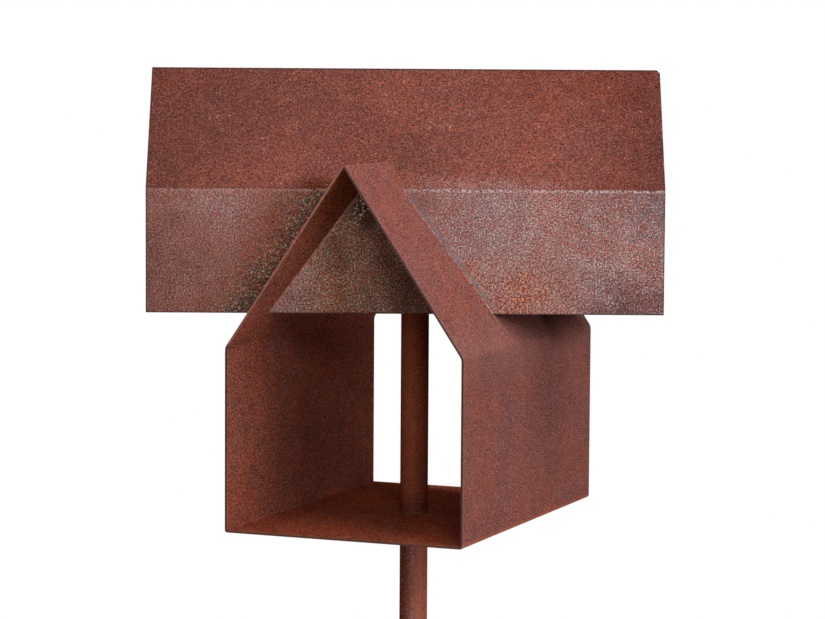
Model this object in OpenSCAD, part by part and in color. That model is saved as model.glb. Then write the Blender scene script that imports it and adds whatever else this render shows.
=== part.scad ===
// Bird feeder of rusted steel sheet: a small gabled house, open at both ends, is pushed
// crosswise through a long folded roof, and both are carried on one post.
// Z is up, the house's open front looks along -Y, and the origin is on the ground,
// at the middle of the post's foot.

/* [Sheet] */
// Thickness of the steel sheet
sheet_t = 1.5; // [1:0.1:2.5]
// Inside radius of the sharp folds, at both ridges and along the floor
sharp_fold_r = 0.4; // [0.3:0.1:2]
// Inside radius of the soft folds along the eaves
soft_fold_r = 6.5; // [2:0.5:10]

/* [Roof] */
// Length of the roof along its ridge
roof_len = 360; // [320:1:480]
// Width of the roof over its two skirts
roof_w = 122; // [100:1:150]
// Height of a skirt, from its lower edge to the fold at the eave
skirt_h = 86.5; // [70:0.5:110]
// Slope of the roof in degrees
roof_pitch = 54; // [45:0.5:60]
// Turn of the roof's ridge against the width of the house, in degrees
roof_turn = 22.5; // [0:0.5:35]
// Offset of the roof's middle from the post, along the ridge
roof_shift = -7.5; // [-20:0.5:20]
// Corner nipped off one end of the ridge
ridge_nip = 2.2; // [0.5:0.1:6]

/* [House] */
// Width of the house over its walls
house_w = 176; // [150:1:210]
// Depth of the house from front to back
house_depth = 260; // [220:1:320]
// Height of a wall, from under the floor to the fold at the eave
wall_h = 128.5; // [90:0.5:136]
// Slope of the house's own gable in degrees
house_pitch = 55.5; // [45:0.5:62]
// Height of the roof's lower edges over the underside of the floor
skirt_lift = 150; // [142:0.5:175]

/* [Post] */
// Outside diameter of the post
post_d = 20; // [16:0.5:30]
// Wall of the post's tube
post_wall = 2; // [1.5:0.1:4]
// Height of the floor's underside over the ground
floor_lift = 1000; // [600:5:1500]

/* [Fits] */
// Gap between the roof's sheet and each side of the slots that it sits in
slot_play = 0.25; // [0.1:0.05:0.5]
// Gap all round the post where it passes through the floor
hole_play = 0.4; // [0.2:0.1:0.9]
// Gap between the post's rim and the gable that sits astride it
seat_play = 0.3; // [0.1:0.1:0.9]

/* [Hidden] */
$fn = 96;

roof_rust = [0.47, 0.29, 0.25];
house_rust = [0.51, 0.29, 0.26];
post_rust = [0.48, 0.26, 0.19];

// Each fold is its turn in degrees and its inside radius.
free_edge = [0, 0];
roof_eave_fold = [90 - roof_pitch, soft_fold_r];
roof_ridge_fold = [2 * roof_pitch, sharp_fold_r];
floor_fold = [90, sharp_fold_r];
house_eave_fold = [90 - house_pitch, soft_fold_r];
house_ridge_fold = [2 * house_pitch, sharp_fold_r];

// Cross-section of the roof: half width, and heights over the floor's underside.
roof_half = roof_w / 2;
roof_eave = skirt_lift + skirt_h;
roof_ridge = roof_eave + roof_half * tan(roof_pitch);
roof_slope_w = roof_half / cos(roof_pitch);
roof_top = roof_ridge - fold_drop(roof_ridge_fold);

// Cross-section of the house, measured the same way.
house_half = house_w / 2;
house_ridge = wall_h + house_half * tan(house_pitch);
house_slope_w = house_half / cos(house_pitch);

// Height of the post's top, where its rim meets the inside faces of the house's two slopes.
post_top = floor_lift + house_ridge - (sheet_t + seat_play) / cos(house_pitch)
    - post_d / 2 * tan(house_pitch);

// Distance from a fold's sharp corner to where the flat beside it begins.
function setback(fold) = (fold[1] + sheet_t) * tan(fold[0] / 2);

// Distance by which a fold's round outside stays below its sharp corner.
function fold_drop(fold) = (fold[1] + sheet_t) * (1 / cos(fold[0] / 2) - 1);

// Half of a fold's round, from the flat at -Y to the fold's middle, towards +X or -X.
module half_fold(fold, side, grow) {
    outside_r = fold[1] + sheet_t + grow;
    reach = 2 * outside_r;
    intersection() {
        difference() {
            circle(outside_r);
            if (fold[1] > grow) circle(fold[1] - grow);
        }
        polygon([[0, 0], [0, -reach], reach * [side * sin(fold[0] / 2), -cos(fold[0] / 2)]]);
    }
}

// Section of one flat of a folded sheet, with half of each fold beside it. It runs along X
// from one sharp corner to the next, with the sheet's outside on Y = 0 and its inside above.
module flat_section(w, near, far, grow = 0) {
    near_x = setback(near);
    far_x = w - setback(far);
    translate([near_x, -grow]) square([far_x - near_x, sheet_t + 2 * grow]);
    if (near[0] > 0) translate([near_x, near[1] + sheet_t]) half_fold(near, -1, grow);
    if (far[0] > 0) translate([far_x, far[1] + sheet_t]) half_fold(far, 1, grow);
}

// The roof's own frame: X along the ridge, Y across it, Z up from the floor's underside.
module in_roof() {
    translate([0, 0, floor_lift]) rotate([0, 0, roof_turn]) translate([roof_shift, 0, 0]) children();
}

// One flat of the roof, from a corner [y, z] of its cross-section.
module roof_flat(corner, heading, w, near, far, grow = 0) {
    in_roof() translate([0, corner[0], corner[1]]) rotate([heading, 0, 0]) rotate([90, 0, 90])
        linear_extrude(roof_len, center = true) flat_section(w, near, far, grow);
}

module front_skirt_flat(grow = 0) {
    roof_flat([-roof_half, roof_eave], 270, skirt_h, roof_eave_fold, free_edge, grow);
}

module front_slope_flat(grow = 0) {
    roof_flat([0, roof_ridge], 180 + roof_pitch, roof_slope_w, roof_ridge_fold, roof_eave_fold, grow);
}

module back_slope_flat(grow = 0) {
    roof_flat([roof_half, roof_eave], 180 - roof_pitch, roof_slope_w, roof_eave_fold, roof_ridge_fold, grow);
}

module back_skirt_flat(grow = 0) {
    roof_flat([roof_half, skirt_lift], 90, skirt_h, free_edge, roof_eave_fold, grow);
}

// The nipped corner at the right-hand end of the ridge.
module ridge_corner() {
    side = ridge_nip * sqrt(2);
    in_roof() translate([roof_len / 2, 0, roof_top]) rotate([0, 45, 0]) cube([side, roof_w, side], center = true);
}

// Slots that the whole roof sheet leaves in the house: its lower edges rest on their ends.
module roof_slots() {
    front_skirt_flat(slot_play);
    front_slope_flat(slot_play);
    back_slope_flat(slot_play);
    back_skirt_flat(slot_play);
}

// One flat of the house, from a corner [x, z] of its cross-section.
module house_flat(corner, heading, w, near, far) {
    translate([corner[0], 0, floor_lift + corner[1]]) rotate([0, -heading, 0]) rotate([90, 0, 0])
        linear_extrude(house_depth, center = true) flat_section(w, near, far);
}

module roof_front_skirt() {
    color(roof_rust) front_skirt_flat();
}

module roof_front_slope() {
    color(roof_rust) difference() {
        front_slope_flat();
        ridge_corner();
    }
}

module roof_back_slope() {
    color(roof_rust) difference() {
        back_slope_flat();
        ridge_corner();
    }
}

module roof_back_skirt() {
    color(roof_rust) back_skirt_flat();
}

module house_floor() {
    color(house_rust) difference() {
        house_flat([-house_half, 0], 0, house_w, floor_fold, floor_fold);
        translate([0, 0, floor_lift - sheet_t]) cylinder(d = post_d + 2 * hole_play, h = 3 * sheet_t);
    }
}

module house_left_wall() {
    color(house_rust) house_flat([-house_half, wall_h], 270, wall_h, house_eave_fold, floor_fold);
}

module house_right_wall() {
    color(house_rust) house_flat([house_half, 0], 90, wall_h, floor_fold, house_eave_fold);
}

module house_left_slope() {
    color(house_rust) difference() {
        house_flat([0, house_ridge], 180 + house_pitch, house_slope_w, house_ridge_fold, house_eave_fold);
        roof_slots();
    }
}

module house_right_slope() {
    color(house_rust) difference() {
        house_flat([house_half, wall_h], 180 - house_pitch, house_slope_w, house_eave_fold, house_ridge_fold);
        roof_slots();
    }
}

// A square-cut tube from the ground up through the floor, with the gable astride its rim.
module post() {
    color(post_rust) difference() {
        cylinder(d = post_d, h = post_top);
        translate([0, 0, -post_d]) cylinder(d = post_d - 2 * post_wall, h = post_top + 2 * post_d);
    }
}

roof_front_skirt();
roof_front_slope();
roof_back_slope();
roof_back_skirt();
house_floor();
house_left_wall();
house_right_wall();
house_left_slope();
house_right_slope();
post();
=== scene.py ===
"""Looks of a bird feeder of rusted steel sheet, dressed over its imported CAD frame.

The sheets and the post are the CAD nodes themselves. This file gives them their rust, adds the
weld beads that hold the two sheets and the post together, and sets up a plain studio round them.
"""

import logging
import math
from dataclasses import dataclass, field
from enum import Enum

import bmesh
import bpy
from mathutils import Matrix, Vector


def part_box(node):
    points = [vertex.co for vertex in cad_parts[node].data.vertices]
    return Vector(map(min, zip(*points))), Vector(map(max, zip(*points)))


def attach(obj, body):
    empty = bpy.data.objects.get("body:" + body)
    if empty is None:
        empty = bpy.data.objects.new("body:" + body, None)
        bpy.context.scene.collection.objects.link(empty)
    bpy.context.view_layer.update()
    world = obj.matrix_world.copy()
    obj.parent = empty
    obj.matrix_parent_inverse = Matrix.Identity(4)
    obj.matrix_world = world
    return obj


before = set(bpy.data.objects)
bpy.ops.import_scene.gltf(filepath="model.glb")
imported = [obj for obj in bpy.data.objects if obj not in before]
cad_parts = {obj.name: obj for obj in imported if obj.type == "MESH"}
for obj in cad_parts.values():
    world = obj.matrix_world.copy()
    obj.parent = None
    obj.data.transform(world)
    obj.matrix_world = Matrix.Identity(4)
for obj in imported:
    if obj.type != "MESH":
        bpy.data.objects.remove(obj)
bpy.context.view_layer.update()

LOG = logging.getLogger("bird_feeder")
MM = 0.001
BODY = "root"
PICTURE_WIDTH = 825
FULL_BYTE = 255.0
MATT_SPECULAR = 0.0
MIDDLE = 0.5

Socket = bpy.types.NodeSocket
Outputs = bpy.types.NodeOutputs
Number = float | Socket
Axis = tuple[float, float, float]

NOWHERE: Axis = (0.0, 0.0, 0.0)
UNSCALED: Axis = (1.0, 1.0, 1.0)
ASIDE: Axis = (1.0, 0.0, 0.0)
BACKWARDS: Axis = (0.0, 1.0, 0.0)
UP: Axis = (0.0, 0.0, 1.0)


class Side(Enum):
    """Side of the house, seen from its open front."""

    LEFT = -1
    RIGHT = 1


class End(Enum):
    """End of the house that a hood stands out of."""

    FRONT = -1
    BACK = 1


class SheetFace(Enum):
    """Face of the house's sheet that a bead lies along."""

    OUTER = "outer"
    INNER = "inner"


class SocketKind(Enum):
    """Kinds of socket that the shared effects have."""

    NUMBER = "NodeSocketFloat"
    PLACE = "NodeSocketVector"
    COLOUR = "NodeSocketColor"


class MixSocket(Enum):
    """Numbers of a Mix node's sockets when it mixes colours."""

    MASK = 0
    UNDER = 6
    OVER = 7
    RESULT = 2


@dataclass(frozen=True)
class FeederSizes:
    """Sizes of the two folded sheets and the post, in metres, as the part's source has them."""

    sheet: float = 1.5 * MM
    soft_fold: float = 6.5 * MM
    roof_len: float = 360.0 * MM
    roof_half: float = 61.0 * MM
    roof_pitch: float = math.radians(54.0)
    roof_turn: float = math.radians(22.5)
    roof_shift: float = -7.5 * MM
    skirt_lift: float = 150.0 * MM
    eave: float = 236.5 * MM
    house_half: float = 88.0 * MM
    house_depth: float = 260.0 * MM
    wall_h: float = 128.5 * MM
    house_pitch: float = math.radians(55.5)
    post_r: float = 10.0 * MM
    floor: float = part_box("house_floor")[0].z
    roof_top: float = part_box("roof_front_slope")[1].z

    @property
    def house_ridge(self) -> float:
        """Height of the sharp corner of the house's ridge over the floor's underside."""
        return self.wall_h + self.house_half * math.tan(self.house_pitch)

    @property
    def roof_top_h(self) -> float:
        """Height of the roof's ridge over the floor's underside."""
        return self.roof_top - self.floor

    @property
    def roof_along(self) -> Axis:
        """Direction of the roof's ridge."""
        return (math.cos(self.roof_turn), math.sin(self.roof_turn), 0.0)

    @property
    def roof_across(self) -> Axis:
        """Direction across the roof's ridge."""
        return (-math.sin(self.roof_turn), math.cos(self.roof_turn), 0.0)


SIZES = FeederSizes()


@dataclass(frozen=True)
class Tint:
    """A colour as it is seen on screen, each part from 0 to 255."""

    red: float
    green: float
    blue: float

    def linear(self) -> tuple[float, float, float, float]:
        """Gives the colour as the linear values that Blender's sockets take.

        Returns:
            Red, green, blue and a full alpha.
        """
        knee, slope, offset, power = 0.04045, 12.92, 0.055, 2.4
        parts = [c / FULL_BYTE for c in (self.red, self.green, self.blue)]
        r, g, b = (c / slope if c <= knee else ((c + offset) / (1 + offset)) ** power for c in parts)
        return (r, g, b, 1.0)


WHITE = Tint(255, 255, 255)
Paint = Tint | Socket


@dataclass(frozen=True)
class Step:
    """A soft step of a value: where it starts and stops, and the results before and after it."""

    start: Number
    stop: Number
    low: float = 0.0
    high: float = 1.0

    @classmethod
    def mm(cls, start: float, stop: float, base: float = 0.0, low: float = 0.0, high: float = 1.0) -> "Step":
        """Makes a step whose ends are given in millimetres from a base, which is in metres."""
        return cls(base + start * MM, base + stop * MM, low, high)


@dataclass(frozen=True)
class Band:
    """A stretch of a value, with soft ends outside it."""

    low: float
    high: float
    soft: float

    @classmethod
    def mm(cls, low: float, high: float, soft: float, base: float = 0.0) -> "Band":
        """Makes a band given in millimetres from a base, which is in metres."""
        return cls(base + low * MM, base + high * MM, soft * MM)


@dataclass(frozen=True)
class Noise:
    """A Noise Texture: cells in a metre, finer noises and their strength, warp, shift and squeeze."""

    scale: Number
    detail: float
    rough: float = 0.5
    warp: float = 0.0
    shift: Axis = NOWHERE
    squeeze: Axis = UNSCALED


@dataclass(frozen=True)
class Grains:
    """Strewn grains of one tint, shifted so that no two layers share their grains."""

    shift: Axis
    per_metre: float
    cover: Number
    soft: float
    strength: float = 1.0
    tint: Tint = WHITE


@dataclass(frozen=True)
class Relief:
    """Real depth of a finish's grain, in metres, and how strongly it tilts the surface."""

    depth: float
    strength: float


class Graph:
    """Short calls for one node tree, so that a finish reads as a list of its layers."""

    def __init__(self, tree: bpy.types.NodeTree) -> None:
        """Keeps the tree that the calls add nodes to."""
        self.tree = tree

    def node(
        self, kind: str, takes: dict[str | int, object] | None = None, **settings: object
    ) -> bpy.types.Node:
        """Adds a node, sets its own properties and fills its inputs.

        Args:
            kind: Blender's name of the node's class.
            takes: names or numbers of input sockets, and what goes into them.
            settings: properties of the node and their values.
        Returns:
            The new node.
        """
        made = self.tree.nodes.new(kind)
        for name, value in settings.items():
            setattr(made, name, value)
        for name, value in (takes or {}).items():
            self.plug(made.inputs[name], value)
        return made

    def plug(self, socket: Socket, value: object) -> None:
        """Links a socket to another socket, or sets it to a colour or a number.

        Args:
            socket: the input socket.
            value: an output socket, a tint, or a plain value.
        """
        if isinstance(value, bpy.types.NodeSocket):
            self.tree.links.new(value, socket)
        else:
            socket.default_value = value.linear() if isinstance(value, Tint) else value

    def math(self, operation: str, first: Number, second: Number = 0.0, clamp: bool = False) -> Socket:
        """Adds a Math node for one or two values; clamp keeps its result between 0 and 1."""
        made = self.node("ShaderNodeMath", {0: first, 1: second}, operation=operation, use_clamp=clamp)
        return made.outputs[0]

    def times(self, *values: Number) -> Socket:
        """Multiplies values in order.

        Args:
            values: two values or more.
        Returns:
            The product.
        """
        result = values[0]
        for value in values[1:]:
            result = self.math("MULTIPLY", result, value)
        return result

    def fade(self, value: Number, step: Step) -> Socket:
        """Reads a value through a soft step.

        Args:
            value: the value that is read.
            step: the step, which may stop on either side of its start.
        Returns:
            The stepped value.
        """
        takes = {"Value": value, "From Min": step.start, "From Max": step.stop}
        takes |= {"To Min": step.low, "To Max": step.high}
        made = self.node("ShaderNodeMapRange", takes, interpolation_type="SMOOTHSTEP", clamp=True)
        return made.outputs["Result"]

    def within(self, value: Number, band: Band) -> Socket:
        """Gives 1 inside a band of a value and 0 outside it, with soft ends."""
        rise, drop = Step(band.low - band.soft, band.low), Step(band.high + band.soft, band.high)
        return self.times(self.fade(value, rise), self.fade(value, drop))

    def layer(self, mask: Number, under: Paint, over: Paint, blend: str = "MIX") -> Socket:
        """Lays one colour over another.

        Args:
            mask: share of the upper colour, from 0 to 1.
            under: the lower colour.
            over: the upper colour.
            blend: Blender's name of the way to mix them.
        Returns:
            The mixed colour.
        """
        takes = {MixSocket.MASK.value: mask, MixSocket.UNDER.value: under, MixSocket.OVER.value: over}
        made = self.node("ShaderNodeMix", takes, data_type="RGBA", blend_type=blend, clamp_factor=True)
        return made.outputs[MixSocket.RESULT.value]

    def shade(self, mask: Number, colour: Socket, tint: Tint) -> Socket:
        """Multiplies a colour by a tint, as far as a mask says."""
        return self.layer(mask, colour, tint, "MULTIPLY")

    def noise(self, place: Socket, noise: Noise) -> Socket:
        """Adds a Noise Texture.

        Args:
            place: where the noise is read.
            noise: its sizes.
        Returns:
            Its value, round about 0.5.
        """
        if noise.shift != NOWHERE or noise.squeeze != UNSCALED:
            place = self.mapped(place, noise.shift, scale=noise.squeeze)
        takes = {"Vector": place, "Scale": noise.scale, "Detail": noise.detail}
        takes |= {"Roughness": noise.rough, "Distortion": noise.warp}
        return self.node("ShaderNodeTexNoise", takes, noise_dimensions="3D").outputs["Fac"]

    def mapped(
        self, place: Socket, move: Axis = NOWHERE, turn: float = 0.0, scale: Axis = UNSCALED
    ) -> Socket:
        """Scales a place, turns it about Z and moves it, with a Mapping node."""
        takes = {"Vector": place, "Location": move, "Rotation": (0.0, 0.0, turn), "Scale": scale}
        return self.node("ShaderNodeMapping", takes, vector_type="POINT").outputs["Vector"]

    def axes(self, place: Socket) -> tuple[Socket, ...]:
        """Splits a place into its three coordinates."""
        return tuple(self.node("ShaderNodeSeparateXYZ", {0: place}).outputs)

    def along(self, direction: Socket, axis: Axis | Socket) -> Socket:
        """Gives how far a direction points along an axis."""
        made = self.node("ShaderNodeVectorMath", {0: direction, 1: axis}, operation="DOT_PRODUCT")
        return made.outputs["Value"]

    def effect(self, group: bpy.types.NodeTree, takes: dict[str, object]) -> Outputs:
        """Places a shared effect with its own values, and gives its outputs."""
        return self.node("ShaderNodeGroup", takes, node_tree=group).outputs


class RustEffects:
    """Node groups that more than one finish uses, each built once."""

    MASK = {"Mask": SocketKind.NUMBER}

    def __init__(self) -> None:
        """Builds the groups."""
        self.speckle = self.build_speckle()
        self.body = self.build_body()
        self.cut = self.build_cut()
        self.wear = self.build_wear()
        self.runs = self.build_runs()

    @staticmethod
    def open_group(
        name: str, takes: dict[str, SocketKind], gives: dict[str, SocketKind]
    ) -> tuple[Graph, dict[str, Socket], dict[str, Socket]]:
        """Starts a node group with named sockets.

        Args:
            name: the group's name.
            takes: its inputs and their kinds.
            gives: its outputs and their kinds.
        Returns:
            The group's graph, the sockets that bring its inputs, and those that take its outputs.
        """
        tree = bpy.data.node_groups.new(name, "ShaderNodeTree")
        for label, kind in takes.items():
            tree.interface.new_socket(label, in_out="INPUT", socket_type=kind.value)
        for label, kind in gives.items():
            tree.interface.new_socket(label, in_out="OUTPUT", socket_type=kind.value)
        graph = Graph(tree)
        entry, leave = graph.node("NodeGroupInput"), graph.node("NodeGroupOutput")
        return graph, {n: entry.outputs[n] for n in takes}, {n: leave.inputs[n] for n in gives}

    def build_speckle(self) -> bpy.types.NodeTree:
        """Builds grains that cover a chosen share of the surface.

        Returns:
            The group.
        """
        takes = {"Place": SocketKind.PLACE}
        takes |= dict.fromkeys(("Grains per metre", "Cover", "Soft"), SocketKind.NUMBER)
        graph, entry, leave = self.open_group("rust_speckle", takes, self.MASK)
        bare, span, detail, rough, warp = 0.68, 0.36, 1.0, 0.5, 0.5
        value = graph.noise(entry["Place"], Noise(entry["Grains per metre"], detail, rough, warp))
        level = graph.math("SUBTRACT", bare, graph.times(entry["Cover"], span))
        low, high = (graph.math(operation, level, entry["Soft"]) for operation in ("SUBTRACT", "ADD"))
        graph.plug(leave["Mask"], graph.fade(value, Step(low, high)))
        return graph.tree

    def strew(self, graph: Graph, place: Socket, grains: Grains) -> Socket:
        """Places strewn grains in a graph and gives their mask."""
        takes = {"Grains per metre": grains.per_metre, "Cover": grains.cover, "Soft": grains.soft}
        return graph.effect(self.speckle, {"Place": graph.mapped(place, grains.shift)} | takes)["Mask"]

    def build_body(self) -> bpy.types.NodeTree:
        """Builds the coat of rust: dark, plain and light grains, warm and cool ones, and clouds.

        Returns:
            The group.
        """
        takes = {"Place": SocketKind.PLACE}
        takes |= dict.fromkeys(("Dark", "Base", "Light", "Warm", "Cool"), SocketKind.COLOUR)
        shares = ("Warmth", "Coolness", "Clouding", "Hue drift", "Grains per metre")
        takes |= dict.fromkeys(shares, SocketKind.NUMBER)
        gives = {"Colour": SocketKind.COLOUR}
        gives |= dict.fromkeys(("Height", "Clouds", "Blotches"), SocketKind.NUMBER)
        graph, entry, leave = self.open_group("rust_body", takes, gives)
        place, grains = entry["Place"], entry["Grains per metre"]
        coarser, fine_detail, hue_detail, rough = 0.85, 1.5, 1.0, 0.6
        apart, away = (3.1, 1.7, 0.4), (8.2, 5.3, 2.6)
        reach, start, full = 0.22, 0.03, 0.19
        clouds = graph.noise(place, Noise(scale=11.0, detail=3.0, rough=rough))
        blotches = graph.noise(place, Noise(scale=95.0, detail=2.0, rough=rough))
        fine = graph.noise(place, Noise(grains, fine_detail, rough))
        hue = graph.noise(place, Noise(graph.times(grains, coarser), hue_detail, shift=apart))
        patches = graph.noise(place, Noise(scale=22.0, detail=3.0, rough=rough, shift=away))
        drift = graph.times(graph.math("SUBTRACT", patches, MIDDLE), entry["Hue drift"])
        hue = graph.math("ADD", hue, drift)
        mottle = graph.math("SUBTRACT", graph.math("ADD", clouds, blotches), 2 * MIDDLE)
        tone = graph.math("ADD", fine, graph.times(mottle, entry["Clouding"]))
        colour = graph.layer(graph.fade(tone, Step(MIDDLE - reach, MIDDLE)), entry["Dark"], entry["Base"])
        colour = graph.layer(graph.fade(tone, Step(MIDDLE, MIDDLE + reach)), colour, entry["Light"])
        warm = graph.fade(hue, Step(MIDDLE + start, MIDDLE + full))
        cool = graph.fade(hue, Step(MIDDLE - start, MIDDLE - full))
        colour = graph.layer(graph.times(warm, entry["Warmth"]), colour, entry["Warm"])
        colour = graph.layer(graph.times(cool, entry["Coolness"]), colour, entry["Cool"])
        for name, value in zip(gives, (colour, fine, clouds, blotches)):
            graph.plug(leave[name], value)
        return graph.tree

    def build_cut(self) -> bpy.types.NodeTree:
        """Builds the mask of the cut edges: faces that look along an axis, either way.

        Returns:
            The group.
        """
        takes = dict.fromkeys(("Facing", "Axis"), SocketKind.PLACE)
        graph, entry, leave = self.open_group("cut_edge", takes, self.MASK)
        slanting, square_on = 0.9, 0.97
        either_way = graph.math("ABSOLUTE", graph.along(entry["Facing"], entry["Axis"]))
        graph.plug(leave["Mask"], graph.fade(either_way, Step(slanting, square_on)))
        return graph.tree

    def build_wear(self) -> bpy.types.NodeTree:
        """Builds a worn line, broken up by grains, where a distance is near nothing.

        Returns:
            The group.
        """
        takes = {"Place": SocketKind.PLACE}
        takes |= dict.fromkeys(("Distance", "Width", "Cover"), SocketKind.NUMBER)
        graph, entry, leave = self.open_group("worn_line", takes, self.MASK)
        core, per_metre, soft, apart = 0.25, 800.0, 0.06, (7.7, 2.9, 4.6)
        width = Step(entry["Width"], graph.times(entry["Width"], core))
        near = graph.fade(graph.math("ABSOLUTE", entry["Distance"]), width)
        broken = self.strew(graph, entry["Place"], Grains(apart, per_metre, entry["Cover"], soft))
        graph.plug(leave["Mask"], graph.times(near, broken))
        return graph.tree

    def build_runs(self) -> bpy.types.NodeTree:
        """Builds faint upright streaks where rain has run down.

        Returns:
            The group.
        """
        takes = {"Place": SocketKind.PLACE, "Streaks per metre": SocketKind.NUMBER}
        graph, entry, leave = self.open_group("rain_runs", takes, self.MASK)
        detail, rough, drawn_out, bare, full = 2.0, 0.6, (1.0, 1.0, 0.06), 0.46, 0.7
        streaks = Noise(entry["Streaks per metre"], detail, rough, squeeze=drawn_out)
        mask = graph.fade(graph.noise(entry["Place"], streaks), Step(bare, full))
        graph.plug(leave["Mask"], mask)
        return graph.tree


class MaterialDesk:
    """One material under way: its graph, its shader, what its layers read and the shared effects."""

    INWARD = Step(-0.2, -0.4)

    def __init__(self, name: str, roughness: float, effects: RustEffects | None = None) -> None:
        """Starts the material.

        Args:
            name: the material's name.
            roughness: its roughness.
            effects: the shared effects, where it uses them.
        """
        self.effects = effects
        self.material = bpy.data.materials.new(name)
        self.material.use_nodes = True
        self.material.node_tree.nodes.clear()
        self.graph = Graph(self.material.node_tree)
        matt = {"Roughness": roughness, "Specular IOR Level": MATT_SPECULAR}
        self.shader = self.graph.node("ShaderNodeBsdfPrincipled", matt)
        self.leave = self.graph.node("ShaderNodeOutputMaterial", {"Surface": self.shader.outputs["BSDF"]})
        self.place = self.graph.node("ShaderNodeTexCoord").outputs["Object"]
        self.facing = self.graph.node("ShaderNodeNewGeometry").outputs["Normal"]

    def turned(self) -> Socket:
        """Gives the place in the roof's frame: along its ridge, across it and up from the floor."""
        return self.graph.mapped(self.place, (-SIZES.roof_shift, 0.0, -SIZES.floor), -SIZES.roof_turn)

    def inward(self, axis: Axis, coordinate: Socket) -> Socket:
        """Gives the mask of the faces that look back along an axis, towards the middle of it."""
        outward = self.graph.times(self.graph.along(self.facing, axis), self.graph.math("SIGN", coordinate))
        return self.graph.fade(outward, self.INWARD)

    def cut(self, axis: Axis) -> Socket:
        """Gives the mask of the cut edges that look along an axis, either way."""
        return self.graph.effect(self.effects.cut, {"Facing": self.facing, "Axis": axis})["Mask"]

    def runs(self, place: Socket, per_metre: float) -> Socket:
        """Gives the mask of the rain's streaks."""
        return self.graph.effect(self.effects.runs, {"Place": place, "Streaks per metre": per_metre})["Mask"]

    def worn(self, place: Socket, distance: Socket, width: float, cover: Number) -> Socket:
        """Gives the mask of a worn line where a distance is near nothing."""
        takes = {"Place": place, "Distance": distance, "Width": width, "Cover": cover}
        return self.graph.effect(self.effects.wear, takes)["Mask"]

    def strewn(self, colour: Socket, grains: Grains, place: Socket, *masks: Socket) -> Socket:
        """Strews grains over a colour, where every mask lets them."""
        spots = self.graph.times(self.effects.strew(self.graph, place, grains), *masks, grains.strength)
        return self.graph.layer(spots, colour, grains.tint)

    def finish(self, colour: Socket, height: Socket, relief: Relief) -> bpy.types.Material:
        """Joins the colour and the grain to the shader.

        Args:
            colour: the finished colour.
            height: height of the grain.
            relief: its depth and strength.
        Returns:
            The finished material.
        """
        takes = {"Height": height, "Distance": relief.depth, "Strength": relief.strength}
        bump = self.graph.node("ShaderNodeBump", takes)
        self.graph.plug(self.shader.inputs["Base Color"], colour)
        self.graph.plug(self.shader.inputs["Normal"], bump.outputs["Normal"])
        return self.material


@dataclass(frozen=True)
class RustCoat:
    """Colours and grain of one coat of rust, named as the inputs of the coat's group are."""

    dark: Tint
    base: Tint
    light: Tint
    warm: Tint
    cool: Tint
    warmth: float = 0.6
    coolness: float = 0.5
    clouding: float = 0.15
    hue_drift: float = 0.35
    grains_per_metre: float = 900.0

    def lay(self, desk: MaterialDesk, place: Socket) -> Outputs:
        """Places the coat in a material and gives its outputs."""
        takes = {name.replace("_", " ").capitalize(): value for name, value in vars(self).items()}
        return desk.graph.effect(desk.effects.body, takes | {"Place": place})


@dataclass(frozen=True)
class RoofSpot:
    """Where a point of the roof lies, and the noise that breaks up the edges of patches there."""

    turned: Socket
    along: Socket
    across: Socket
    height: Socket
    aside: Socket
    hood: Socket
    ragged: Socket


@dataclass(frozen=True)
class Patch:
    """A soft-edged patch of the roof, in millimetres along the ridge and up from a base in metres."""

    along: float
    up: float
    reach_along: float
    reach_up: float
    base: float
    ragged: float = 0.14

    def mask(self, graph: Graph, spot: RoofSpot, ragged: Socket) -> Socket:
        """Gives the patch's mask.

        Args:
            graph: the material's graph.
            spot: where the roof's points lie.
            ragged: noise that breaks up the patch's edge.
        Returns:
            The mask, 1 at the patch's middle.
        """
        calm, wild = 0.25, 0.75
        aside = graph.math("SUBTRACT", spot.along, self.along * MM)
        above = graph.math("SUBTRACT", spot.height, self.base + self.up * MM)
        aside = graph.math("DIVIDE", aside, self.reach_along * MM)
        above = graph.math("DIVIDE", above, self.reach_up * MM)
        squared = graph.math("ADD", graph.times(aside, aside), graph.times(above, above))
        sway = graph.fade(ragged, Step(calm, wild, -self.ragged, self.ragged))
        return graph.fade(graph.math("ADD", graph.math("SQRT", squared), sway), Step(1.0, 0.0))


Patches = tuple[tuple[Patch, Tint], ...]


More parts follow.
